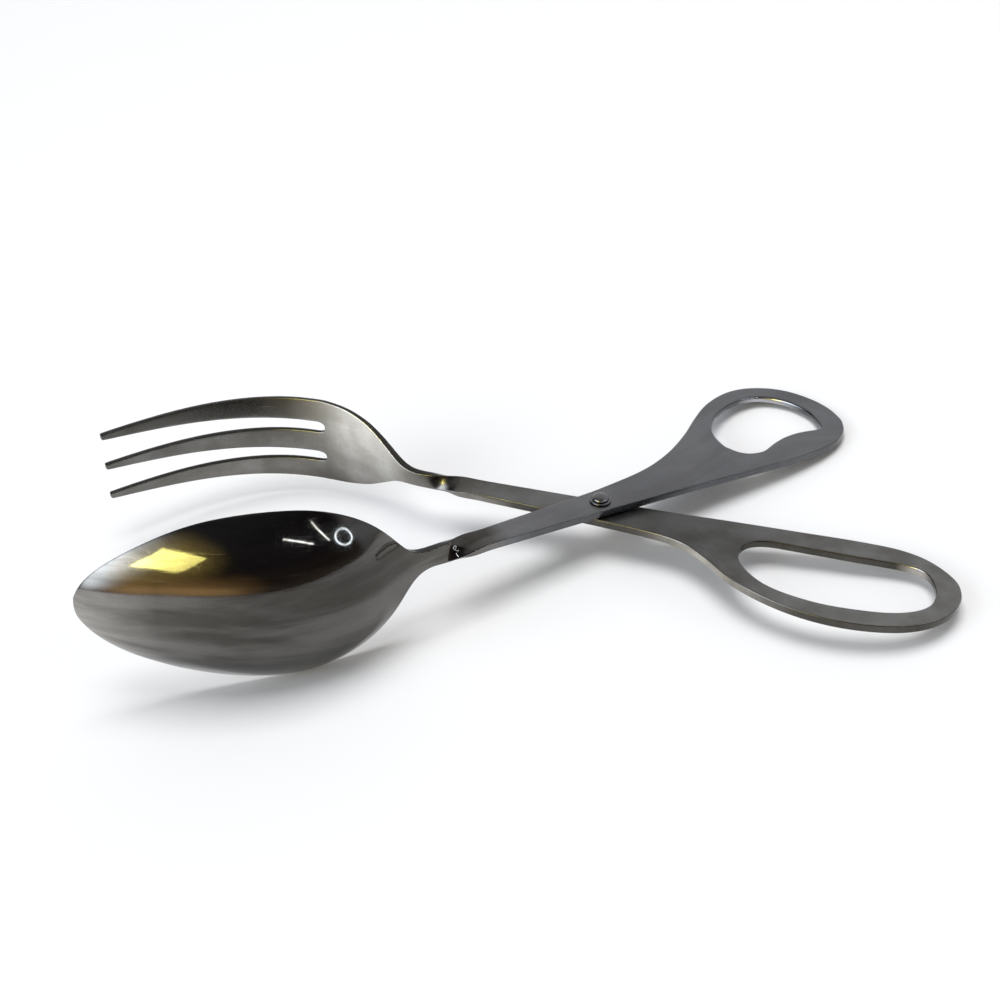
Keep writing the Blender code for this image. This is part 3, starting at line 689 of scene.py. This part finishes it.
def turnOnRivet(name, profile, closed):
    # a profile in the rivet's own x and z, spun round its axis
    bm = bmesh.new()
    verts = [bm.verts.new((x, 0.0, z)) for x, z in profile]
    edges = [bm.edges.new(pair) for pair in zip(verts[:-1], verts[1:])]
    if closed:
        edges.append(bm.edges.new((verts[-1], verts[0])))
    bmesh.ops.spin(bm, geom=verts + edges, axis=(0.0, 0.0, 1.0), cent=(0.0, 0.0, 0.0),
                   angle=2.0 * math.pi, steps=rivetSizes["steps"], use_merge=True)
    bmesh.ops.remove_doubles(bm, verts=bm.verts, dist=weld)
    bmesh.ops.recalc_face_normals(bm, faces=bm.faces)
    addLayers(bm, ("polish", "tone"), ("sheet",))
    for vert in bm.verts:
        mark(bm, vert, tone=1.0, sheet=vert.co)
    bmesh.ops.transform(bm, matrix=onRivet, verts=bm.verts)
    return finishPiece(name, bm, rounding=0.0, levels=1)


def buildRivet():
    size = rivetSizes
    armTop = sheetGap / 2 + sheetGauge
    base = armTop + size["seat"] + size["washerHeight"] + size["seat"]
    crease = size["domeHeight"] / size["creaseParts"]
    profile = []
    for k in range(size["domeSteps"] + 1):
        angle = math.pi / 2 * k / size["domeSteps"]
        profile.append((size["domeRadius"] * math.sin(angle),
                        base + size["domeHeight"] * math.cos(angle)))
    profile += [(size["domeRadius"] - crease, base), (size["shankRadius"] + crease, base)]
    tailTop = -armTop - size["seat"]
    corner = size["tailHeight"] / size["tailParts"]
    tailBottom = tailTop - size["tailHeight"]
    profile += [(size["shankRadius"], base - crease), (size["shankRadius"], tailTop + crease),
                (size["shankRadius"] + crease, tailTop), (size["tailRadius"] - corner, tailTop),
                (size["tailRadius"], tailTop - corner), (size["tailRadius"], tailBottom + corner),
                (size["tailRadius"] - corner, tailBottom), (0.0, tailBottom)]
    return turnOnRivet("domedRivet", profile, closed=False)


def buildWasher():
    size = rivetSizes
    bottom = sheetGap / 2 + sheetGauge + size["seat"]
    top = bottom + size["washerHeight"]
    bore = size["shankRadius"] + size["shankRoom"]
    corner = size["washerHeight"] / size["washerParts"]
    profile = [(bore, top), (size["washerRadius"] - 2.0 * corner, top),
               (size["washerRadius"] - corner / 3, top - corner / 3),
               (size["washerRadius"], top - corner), (size["washerRadius"], bottom + corner / 2),
               (size["washerRadius"] - corner / 2, bottom), (bore, bottom)]
    return turnOnRivet("rivetWasher", profile, closed=True)


def node(tree, kind, feeds, **settings):
    # a shader node; what feeds a socket is a value or another node's output
    made = tree.nodes.new(kind)
    for key, value in settings.items():
        setattr(made, key, value)
    for key, value in feeds.items():
        if isinstance(value, bpy.types.NodeSocket):
            tree.links.new(value, made.inputs[key])
        else:
            made.inputs[key].default_value = value
    return made


def plainMaterial(name, feeds):
    # a shader without patterns
    made = bpy.data.materials.new(name)
    made.use_nodes = True
    for key, value in feeds.items():
        made.node_tree.nodes["Principled BSDF"].inputs[key].default_value = value
    return made


# how each pattern is laid on the steel: stretch, detail, the levels of the noise that count as
# none and as full, distortion, and turn in degrees
patterns = {
    "grain": ((0.10, 1.0, 1.0), 5.0, 0.30, 0.70, 0.0, 0.0),
    "streak": ((0.16, 1.0, 1.0), 4.0, 0.36, 0.66, 0.6, 0.0),
    "cloud": ((1.0, 1.0, 1.0), 5.0, 0.34, 0.68, 0.0, 0.0),
    "scratch": ((0.035, 1.0, 1.0), 2.0, 0.66, 0.72, 0.3, 24.0),
    "crossScratch": ((0.035, 1.0, 1.0), 2.0, 0.68, 0.73, 0.3, -37.0),
    "haze": ((1.0, 1.0, 1.0), 2.0, 0.52, 0.66, 0.0, 0.0),
}
swirls = {"Distortion": 7.0, "Detail": 3.0, "Detail Scale": 0.25}


def steel(name, look, swirlCentre):
    # brushed grain that follows the sheet, cloudy wear, lengthwise streaks and fine scratches
    # (a Mix node's sockets are 0 for the share, 2 and 3 for numbers, 6 and 7 for colours)
    finish = plainMaterial(name, {"Metallic": 1.0})
    tree = finish.node_tree
    shader = tree.nodes["Principled BSDF"]
    flat = node(tree, "ShaderNodeTexCoord", {}).outputs["Object"]
    along = node(tree, "ShaderNodeAttribute", {}, attribute_name="sheet").outputs["Vector"]
    polish = node(tree, "ShaderNodeAttribute", {}, attribute_name="polish").outputs["Fac"]

    def pattern(kind, source, scale):
        # noise, stretched and cut to a range
        stretch, detail, low, high, bend, turn = patterns[kind]
        laid = node(tree, "ShaderNodeMapping", {
            "Scale": stretch, "Rotation": (0.0, 0.0, math.radians(turn)), "Vector": source})
        noise = node(tree, "ShaderNodeTexNoise", {
            "Vector": laid.outputs["Vector"], "Scale": scale, "Detail": detail,
            "Distortion": bend})
        cut = node(tree, "ShaderNodeMapRange", {
            "Value": noise.outputs["Fac"], "From Min": low, "From Max": high},
            interpolation_type="SMOOTHSTEP")
        return cut.outputs["Result"]

    def mixed(satin, polished):
        # satin along the arm, polished on the head
        both = node(tree, "ShaderNodeMix", {0: polish, 2: satin, 3: polished}, data_type="FLOAT")
        return both.outputs[0]

    def worked(operation, *feeds):
        # numbers put together
        done = node(tree, "ShaderNodeMath", dict(enumerate(feeds)), operation=operation)
        return done.outputs[0]

    def toned(base, source, tone):
        # a darker or warmer tone where the pattern is strong
        shaded = node(tree, "ShaderNodeMix", {0: source, 6: base, 7: (*tone, 1.0)},
                      data_type="RGBA", blend_type="MULTIPLY")
        return shaded.outputs[2]

    grain = pattern("grain", along, look["grain"])
    streak = pattern("streak", along, look["streak"])
    cloud = pattern("cloud", flat, look["cloud"])
    lines = pattern("scratch", along, look["scratch"])
    crossed = pattern("crossScratch", along, look["scratch"])
    haze = pattern("haze", flat, look["haze"])
    centred = node(tree, "ShaderNodeMapping", {"Location": -swirlCentre, "Vector": flat})
    rings = node(tree, "ShaderNodeTexWave", {
        "Vector": centred.outputs["Vector"], "Scale": look["swirl"], **swirls},
        wave_type="RINGS", rings_direction="SPHERICAL")
    scratch = worked("MAXIMUM", lines, crossed)
    swirl = worked("MULTIPLY", rings.outputs["Fac"], polish)  # only on the formed head
    streak = worked("MULTIPLY", streak, mixed(look["satinStreak"], look["polishedStreak"]))

    rough = mixed(look["satinRoughness"], look["polishedRoughness"])
    for source, part in ((cloud, "cloud"), (streak, "streak"), (scratch, "scratch"),
                         (haze, "haze"), (swirl, "swirl")):
        rough = worked("MULTIPLY_ADD", source, look[part + "Roughness"], rough)
    tree.links.new(rough, shader.inputs["Roughness"])

    bare = node(tree, "ShaderNodeMix", {
        0: polish, 6: (*look["satinColour"], 1.0), 7: (*look["polishedColour"], 1.0)},
        data_type="RGBA")
    # the colour is scaled by a layer of painted light: sheen and shade on the faces, highlights on
    # the cut edges
    paintedLight = node(tree, "ShaderNodeAttribute", {}, attribute_name=look["paintedLightLayer"])
    bright = node(tree, "ShaderNodeVectorMath", {
        0: bare.outputs[2], "Scale": paintedLight.outputs["Fac"]}, operation="SCALE")
    colour = bright.outputs[0]
    for source, part in ((cloud, "cloud"), (streak, "streak"), (grain, "grain"),
                         (swirl, "swirl")):
        colour = toned(colour, source, look[part + "Tone"])
    tree.links.new(colour, shader.inputs["Base Color"])

    raised = worked("MULTIPLY_ADD", cloud, look["cloudRelief"], grain)
    relief = worked("SUBTRACT", raised, scratch)
    bump = node(tree, "ShaderNodeBump", {
        "Strength": mixed(look["satinRelief"], look["polishedRelief"]), "Height": relief,
        "Distance": look["reliefDepth"]})
    tree.links.new(bump.outputs["Normal"], shader.inputs["Normal"])
    return finish


spoonLook = {
    "paintedLightLayer": "tone",
    # scales of the patterns
    "grain": 3200.0,
    "streak": 130.0,
    "cloud": 48.0,
    "scratch": 1500.0,
    "haze": 5200.0,
    "swirl": 420.0,
    # roughness of the bare steel, and what each pattern adds
    "satinRoughness": 0.30,
    "polishedRoughness": 0.012,
    "cloudRoughness": 0.03,
    "streakRoughness": 0.02,
    "scratchRoughness": 0.14,
    "hazeRoughness": 0.14,
    "swirlRoughness": 0.01,
    "satinStreak": 0.25,
    "polishedStreak": 1.0,
    "satinColour": (0.250, 0.252, 0.258),
    "polishedColour": (0.150, 0.145, 0.136),
    # what each pattern multiplies the colour by
    "cloudTone": (0.86, 0.86, 0.87),
    "streakTone": (0.52, 0.50, 0.48),
    "grainTone": (0.90, 0.90, 0.90),
    "swirlTone": (0.96, 0.96, 0.96),
    "cloudRelief": 0.3,
    "satinRelief": 0.30,
    "polishedRelief": 0.05,
    "reliefDepth": 0.00002,
}
# cut edges: a darker copy of the steel, the darker colour being painted shade, with their own
# roughness
spoonEdgeLook = dict(spoonLook, paintedLightLayer="edgeTone", satinRoughness=0.18,
                     polishedRoughness=0.18, satinColour=(0.125, 0.127, 0.133),
                     polishedColour=(0.10, 0.098, 0.094))

forkLook = {
    "paintedLightLayer": "tone",
    "grain": 3000.0,
    "streak": 170.0,
    "cloud": 75.0,
    "scratch": 1300.0,
    "haze": 5200.0,
    "swirl": 620.0,
    "satinRoughness": 0.30,
    "polishedRoughness": 0.06,
    "cloudRoughness": 0.08,
    "streakRoughness": 0.05,
    "scratchRoughness": 0.08,
    "hazeRoughness": 0.06,
    "swirlRoughness": 0.12,
    "satinStreak": 0.3,
    "polishedStreak": 0.8,
    "satinColour": (0.240, 0.238, 0.232),
    "polishedColour": (0.262, 0.254, 0.236),
    "cloudTone": (0.70, 0.69, 0.66),
    "streakTone": (0.82, 0.80, 0.77),
    "grainTone": (0.88, 0.88, 0.88),
    "swirlTone": (0.62, 0.62, 0.62),
    "cloudRelief": 0.3,
    "satinRelief": 0.35,
    "polishedRelief": 0.30,
    "reliefDepth": 0.00002,
}
# cut edges: a darker copy of the steel, the darker colour being painted shade, with their own
# roughness
forkEdgeLook = dict(forkLook, paintedLightLayer="edgeTone", satinRoughness=0.14,
                    polishedRoughness=0.22, satinColour=(0.095, 0.091, 0.083),
                    polishedColour=(0.085, 0.081, 0.074))

rivetLook = dict(spoonLook, cloud=500.0, streak=900.0, satinRoughness=0.22,
                 satinColour=(0.230, 0.226, 0.235))


def towards(turn, height):
    # direction from a turn round the tongs and a height above them, in degrees
    turn, height = math.radians(turn), math.radians(height)
    return Vector((math.cos(turn) * math.cos(height), math.sin(turn) * math.cos(height),
                   math.sin(height)))


ringLamp = {
    "direction": (-31.0, 22.2),  # turn and height in degrees
    "distance": 1.1,
    "radius": 0.122,
    "tube": 0.012,
    "tubeSteps": 12,
    "steps": 48,
    "colour": (0.80, 0.90, 1.0),
    "level": 15.0,
}


def buildRingLamp():
    # a small circle spun into a ring that faces the tongs
    bm = bmesh.new()
    bmesh.ops.create_circle(bm, segments=ringLamp["tubeSteps"], radius=ringLamp["tube"])
    bmesh.ops.rotate(bm, cent=(0.0, 0.0, 0.0), verts=bm.verts,
                     matrix=Matrix.Rotation(math.pi / 2, 3, "X"))
    bmesh.ops.translate(bm, verts=bm.verts, vec=(ringLamp["radius"], 0.0, 0.0))
    bmesh.ops.spin(bm, geom=bm.verts[:] + bm.edges[:], cent=(0.0, 0.0, 0.0),
                   axis=(0.0, 0.0, 1.0), angle=2.0 * math.pi, steps=ringLamp["steps"],
                   use_merge=True)
    bmesh.ops.remove_doubles(bm, verts=bm.verts, dist=weld)
    bmesh.ops.recalc_face_normals(bm, faces=bm.faces)
    away = towards(*ringLamp["direction"])
    spot = Matrix.Translation(Vector(joint["pos_m"]) + away * ringLamp["distance"])
    bmesh.ops.transform(bm, verts=bm.verts,
                        matrix=spot @ away.to_track_quat("Z", "Y").to_matrix().to_4x4())
    ring = placeMesh("ringLamp", bm)
    ring.visible_camera = False
    ring.data.materials.append(plainMaterial("ringGlow", {
        "Base Color": (0.0, 0.0, 0.0, 1.0), "Emission Color": (*ringLamp["colour"], 1.0),
        "Emission Strength": ringLamp["level"]}))


studio = {
    "floorColour": (0.86, 0.86, 0.86),
    "floorRoughness": 0.9,
    "floorShine": 0.2,
    "floorReach": 6.0,
    # the far side's direction, and how far towards it the near sky ends and the far one begins
    "farSide": (0.5, 0.87, 0.0),
    "nearSkyEnd": 0.07,
    "farSkyStart": 0.24,
    # sky from straight down to straight up, on the near side and on the far side
    "nearSky": [(0.0, (0.5, 0.5, 0.5)), (0.50, (0.20, 0.16, 0.13)), (0.58, (0.09, 0.07, 0.06)),
                (0.68, (0.045, 0.038, 0.042)), (0.93, (0.07, 0.07, 0.08)),
                (1.0, (0.30, 0.30, 0.31))],
    "farSky": [(0.0, (0.5, 0.5, 0.5)), (0.50, (0.46, 0.46, 0.46)), (0.62, (0.54, 0.56, 0.62)),
               (0.72, (0.66, 0.66, 0.67)), (0.85, (0.56, 0.56, 0.56)), (1.0, (0.45, 0.45, 0.46))],
}


def buildFloor():
    bm = bmesh.new()
    bmesh.ops.create_grid(bm, x_segments=1, y_segments=1, size=studio["floorReach"])
    floor = placeMesh("floor", bm)
    floor.data.materials.append(plainMaterial("paleFloor", {
        "Base Color": (*studio["floorColour"], 1.0), "Roughness": studio["floorRoughness"],
        "Specular IOR Level": studio["floorShine"]}))


# soft glows in the sky: direction and height in degrees, reach in degrees of the even middle
# and of the whole, flattening, brightness
glows = {
    "warmGlow": (-116.0, 6.0, 2.0, 36.0, 0.45, (1.1, 0.66, 0.24)),
    "yellowHalo": (-129.0, 28.0, 10.0, 24.0, 1.0, (0.80, 0.58, 0.16)),
    "window": (-158.0, 27.0, 8.0, 32.0, 1.0, (3.5, 3.9, 4.4)),
}


def buildSky():
    world = bpy.data.worlds.new("studio")
    bpy.context.scene.world = world
    world.use_nodes = True
    tree = world.node_tree
    direction = node(tree, "ShaderNodeTexCoord", {}).outputs["Generated"]
    split = node(tree, "ShaderNodeSeparateXYZ", {"Vector": direction})
    height = node(tree, "ShaderNodeMapRange", {"Value": split.outputs["Z"], "From Min": -1.0})

    def smoothShare(value, low, high):
        share = node(tree, "ShaderNodeMapRange", {
            "Value": value, "From Min": low, "From Max": high}, interpolation_type="SMOOTHSTEP")
        return share.outputs["Result"]

    def addGlow(base, turn, height, even, whole, flat, level):
        # the sky's direction less the glow's own, with height stretched
        away = node(tree, "ShaderNodeVectorMath", {0: direction, 1: towards(turn, height)},
                    operation="SUBTRACT")
        squashed = node(tree, "ShaderNodeVectorMath", {
            0: away.outputs[0], 1: (1.0, 1.0, 1.0 / flat)}, operation="MULTIPLY")
        length = node(tree, "ShaderNodeVectorMath", {0: squashed.outputs[0]},
                      operation="LENGTH")
        share = smoothShare(length.outputs["Value"], 2.0 * math.sin(math.radians(whole) / 2),
                            2.0 * math.sin(math.radians(even) / 2))
        lit = node(tree, "ShaderNodeVectorMath", {0: level, "Scale": share}, operation="SCALE")
        total = node(tree, "ShaderNodeVectorMath", {0: base, 1: lit.outputs[0]},
                     operation="ADD")
        return total.outputs[0]

    def skyRamp(levels):
        ramp = node(tree, "ShaderNodeValToRGB", {"Fac": height.outputs["Result"]})
        while len(ramp.color_ramp.elements) < len(levels):
            ramp.color_ramp.elements.new(0.5)
        for element, (at, level) in zip(ramp.color_ramp.elements, levels):
            element.position = at
            element.color = (*level, 1.0)
        return ramp.outputs["Color"]

    # how far a direction lies to the far side
    turned = node(tree, "ShaderNodeVectorMath", {0: direction, 1: studio["farSide"]},
                  operation="DOT_PRODUCT")
    farShare = smoothShare(turned.outputs["Value"], studio["nearSkyEnd"], studio["farSkyStart"])
    nearSky, farSky = skyRamp(studio["nearSky"]), skyRamp(studio["farSky"])
    both = node(tree, "ShaderNodeMix", {0: farShare, 6: nearSky, 7: farSky}, data_type="RGBA")
    sky = both.outputs[2]
    for glow in glows.values():
        sky = addGlow(sky, *glow)
    tree.links.new(sky, tree.nodes["Background"].inputs["Color"])


# direction, height and tilt in degrees, distance, width and length in metres, brightness,
# colour, and whether it lights the floor or shows in the steel
lamps = {
    "overhead": (90.0, 88.0, 0.0, 2.4, 1.4, 1.4, 6.9, (1.0, 1.0, 1.0), True),
    "warmSoftbox": (-129.2, 29.2, -23.0, 1.1, 0.28, 0.25, 11.0, (1.0, 0.95, 0.28), False),
    "tube": (-43.5, 35.0, -82.0, 1.1, 0.33, 0.016, 20.0, (0.95, 0.98, 1.0), False),
    "slantingTube": (-64.0, 36.2, -36.0, 1.1, 0.38, 0.016, 20.0, (0.95, 0.98, 1.0), False),
}


def buildLamps():
    aim = Vector(joint["pos_m"])
    for name, (turn, height, tilt, distance, width, length, level, colour,
               lightsFloor) in lamps.items():
        away = towards(turn, height)
        light = bpy.data.lights.new(name, "AREA")
        light.shape = "RECTANGLE"
        light.size = width
        light.size_y = length
        # so that the lamp itself looks as bright as its level
        light.energy = level * math.pi * width * length
        light.color = colour
        lamp = bpy.data.objects.new(name, light)
        lamp.location = aim + away * distance
        turned = away.to_track_quat("Z", "Y").to_matrix() @ Matrix.Rotation(
            math.radians(tilt), 3, "Z")
        lamp.rotation_euler = turned.to_euler()
        lamp.visible_camera = False
        lamp.visible_diffuse = lightsFloor
        lamp.visible_glossy = not lightsFloor
        bpy.context.scene.collection.objects.link(lamp)


view = {
    "elevation": math.radians(34.0),  # above the plane of the arms
    "turn": math.radians(5.5),  # round the rivet's axis
    "distance": 0.44118,  # to the top of the arms at the rivet
    "aside": 0.0295,  # how far the picture's middle lies from the rivet
    "above": 0.000235,
    "lens": 54.0,
    "sensor": 36.0,
    "nearest": 0.01,
}


def buildCamera():
    up, down = math.sin(view["elevation"]), math.cos(view["elevation"])
    right = Vector((1.0, 0.0, 0.0))
    forward = Vector((0.0, down, -up))
    over = Vector((0.0, up, down))
    target = Vector((0.0, 0.0, sheetGap / 2 + sheetGauge))
    eye = target - forward * view["distance"] - right * view["aside"] + over * view["above"]
    axes = Matrix((right, over, -forward)).transposed().to_4x4()
    axes.translation = eye
    data = bpy.data.cameras.new("camera")
    data.lens = view["lens"]
    data.sensor_width = view["sensor"]
    data.clip_start = view["nearest"]
    camera = bpy.data.objects.new("camera", data)
    camera.matrix_world = onRivet @ Matrix.Rotation(-view["turn"], 4, "Z") @ axes
    bpy.context.scene.collection.objects.link(camera)
    bpy.context.scene.camera = camera


def swirlPlace(arm, turn):
    # the point of the head round which it was polished, in the scene
    centre = headPath(arm)(neckEnd(arm) + arm["reach"] * arm["swirlShare"])[0]
    return onRivet @ Matrix.Rotation(turn, 4, "Z") @ centre


spoonPiece = buildSpoonArm()
bowlPlace = swirlPlace(spoonArm, halfOpening)
spoonPiece.data.materials.append(steel("polishedSteel", spoonLook, bowlPlace))
spoonPiece.data.materials.append(steel("spoonCutEdge", spoonEdgeLook, bowlPlace))
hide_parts("spoon_arm")
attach(spoonPiece, "spoon_half")
print("spoon arm done")

forkPiece = buildForkArm()
palmPlace = swirlPlace(forkArm, -halfOpening)
forkPiece.data.materials.append(steel("satinSteel", forkLook, palmPlace))
forkPiece.data.materials.append(steel("forkCutEdge", forkEdgeLook, palmPlace))
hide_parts("fork_arm")
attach(forkPiece, "fork_half")
print("fork arm done")

rivetSteel = steel("rivetSteel", rivetLook, Vector(joint["pos_m"]))
for piece, cadNode in ((buildRivet(), "rivet"), (buildWasher(), "rivet_washer")):
    piece.data.materials.append(rivetSteel)
    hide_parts(cadNode)
    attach(piece, "fork_half")
print("rivet done")

buildFloor()
buildSky()
buildLamps()
buildRingLamp()
buildCamera()
bpy.context.scene.view_settings.view_transform = "Standard"
print("studio and camera done")
